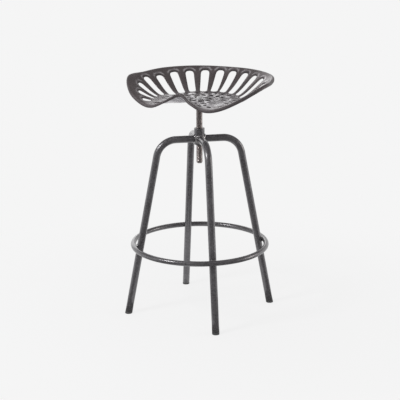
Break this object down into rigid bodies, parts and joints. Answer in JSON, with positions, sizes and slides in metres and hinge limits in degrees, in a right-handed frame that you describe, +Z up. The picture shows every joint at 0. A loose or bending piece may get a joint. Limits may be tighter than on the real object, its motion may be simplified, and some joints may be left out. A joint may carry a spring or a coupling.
{
  "type": "tractor seat stool",
  "caption": "Adjustable stool: slotted pressed steel tractor seat on a threaded spindle, held in a hub on splayed tube legs tied by a foot ring.",
  "frame": {"origin": "on the floor, on the spindle's axis", "axes": "+Z up along the spindle, -Y towards the front of the seat, +X to the sitter's left"},
  "size_m": [0.4578, 0.4272, 0.7342],
  "materials": {
    "frame_paint": "semi-gloss dark grey hammered paint",
    "seat_paint": "semi-gloss dark grey hammered paint, worn lighter in the pan",
    "rod_steel": "dull brownish steel",
    "bright_steel": "satin steel",
    "foot_plastic": "matte dark grey"
  },
  "bodies": {
    "frame": {"leg_1": "frame_paint", "leg_2": "frame_paint", "leg_3": "frame_paint", "leg_4": "frame_paint", "foot_cap_1": "foot_plastic", "foot_cap_2": "foot_plastic", "foot_cap_3": "foot_plastic", "foot_cap_4": "foot_plastic", "foot_ring": "frame_paint", "hub_sleeve": "frame_paint", "threaded_bush": "rod_steel"},
    "spindle": {"spindle": "rod_steel"},
    "seat": {"seat_pan": "seat_paint", "mount_flange": "frame_paint", "centre_washer": "bright_steel", "centre_bolt": "bright_steel", "flange_bolt_1": "rod_steel", "flange_bolt_2": "rod_steel", "flange_bolt_3": "rod_steel", "flange_bolt_4": "rod_steel", "flange_nut_1": "rod_steel", "flange_nut_2": "rod_steel", "flange_nut_3": "rod_steel", "flange_nut_4": "rod_steel"}
  },
  "joints": [
    {"name": "height_lift", "type": "slide", "parent": "frame", "child": "spindle", "axis": [0, 0, 1], "range_m": [-0.0602, 0.0452]},
    {"name": "seat_swivel", "type": "hinge", "parent": "spindle", "child": "seat", "pos_m": [0, 0, 0.6], "axis": [0, 0, 1], "range_deg": [-8640, 6480]}
  ],
  "couplings": [
    {"joint": "height_lift", "follows": "seat_swivel", "m_per_rad": 0.00039789}
  ]
}
